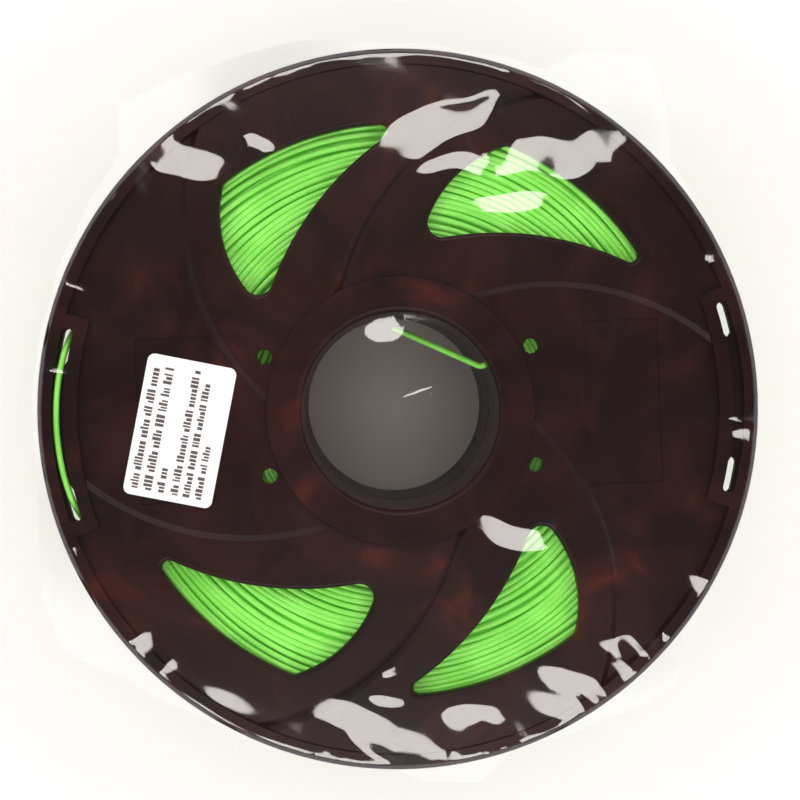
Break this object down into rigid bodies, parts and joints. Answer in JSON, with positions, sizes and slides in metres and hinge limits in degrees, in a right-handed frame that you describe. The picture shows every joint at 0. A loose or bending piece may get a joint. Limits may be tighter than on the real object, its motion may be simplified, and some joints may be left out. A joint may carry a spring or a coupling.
{
  "type": "filament spool",
  "caption": "Full spool of plastic printing filament with swirled, windowed flanges, a through bore in a clear sealed bag.",
  "frame": {"origin": "centre of the lower face, on the bore's axis, where the spool lies on a table", "axes": "+Z along the bore axis, up; +X through the middle of a label sector"},
  "size_m": [0.2132, 0.2132, 0.0656],
  "materials": {
    "moulded_black": "satin moulded polystyrene",
    "green_filament": "extruded, glossy",
    "label_paper": "printed, matt",
    "clear_film": "clear polythene film"
  },
  "bodies": {
    "root": {"upper_flange": "moulded_black", "lower_flange": "moulded_black", "winding_core": "moulded_black", "filament_winding": "green_filament", "filament_tail": "green_filament", "filament_start": "green_filament", "spool_label": "label_paper", "bag_front_sheet": "clear_film", "bag_back_sheet": "clear_film"}
  },
  "joints": []
}
